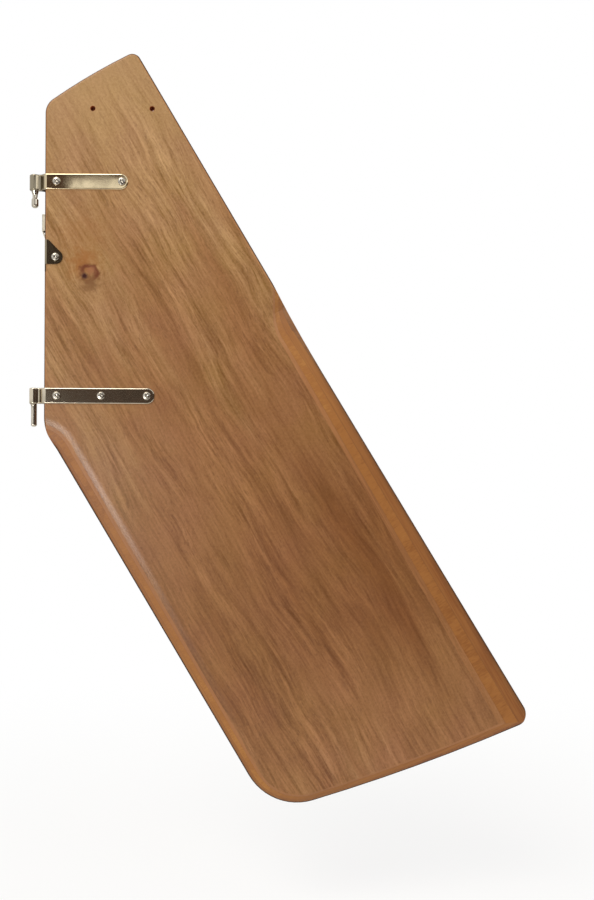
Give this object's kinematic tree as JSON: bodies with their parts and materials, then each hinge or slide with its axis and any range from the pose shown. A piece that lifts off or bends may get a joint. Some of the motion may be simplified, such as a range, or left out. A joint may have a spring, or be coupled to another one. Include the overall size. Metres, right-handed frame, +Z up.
{
  "type": "dinghy rudder blade",
  "caption": "Raked plywood rudder blade for a small sailing dinghy, with pintle straps that hang it in the boat's gudgeons and a sprung clip that stops it lifting out.",
  "frame": {"origin": "on the pintle axis, at the underside of the lower strap's barrel, which bears on the boat's lower gudgeon", "axes": "+X points aft, +Y to starboard and +Z up along the pintle axis; the blade stands in the XZ plane with half of its thickness on each side of Y = 0"},
  "size_m": [0.5004, 0.0264, 0.7491],
  "materials": {
    "face_veneer": "varnished",
    "cross_ply": "varnished",
    "long_ply": "varnished",
    "strap_steel": "polished",
    "pin_steel": "turned",
    "clip_steel": "satin",
    "screw_steel": "bright",
    "nylon": "matte"
  },
  "bodies": {
    "rudder": {"face_veneer_port": "face_veneer", "cross_ply_port": "cross_ply", "long_ply_port": "long_ply", "inner_cross_ply_port": "cross_ply", "core_ply": "long_ply", "inner_cross_ply_starboard": "cross_ply", "long_ply_starboard": "long_ply", "cross_ply_starboard": "cross_ply", "face_veneer_starboard": "face_veneer", "lower_strap": "strap_steel", "lower_pin": "pin_steel", "lower_strap_screws": "screw_steel", "lower_strap_nuts": "screw_steel", "lower_nut_inserts": "nylon", "upper_strap": "strap_steel", "upper_pin": "pin_steel", "upper_strap_screws": "screw_steel", "upper_strap_nuts": "screw_steel", "upper_nut_inserts": "nylon", "retaining_clip": "clip_steel", "clip_screw": "screw_steel", "clip_nut": "screw_steel", "clip_nut_insert": "nylon"},
    "tongue": {"clip_tongue": "clip_steel"}
  },
  "joints": [
    {"name": "tongue_press", "type": "hinge", "parent": "rudder", "child": "tongue", "pos_m": [0.01165, 0, 0.16435], "axis": [0, 1, 0], "range_deg": [0, 8], "stiffness_Nm_per_rad": 1.2}
  ]
}
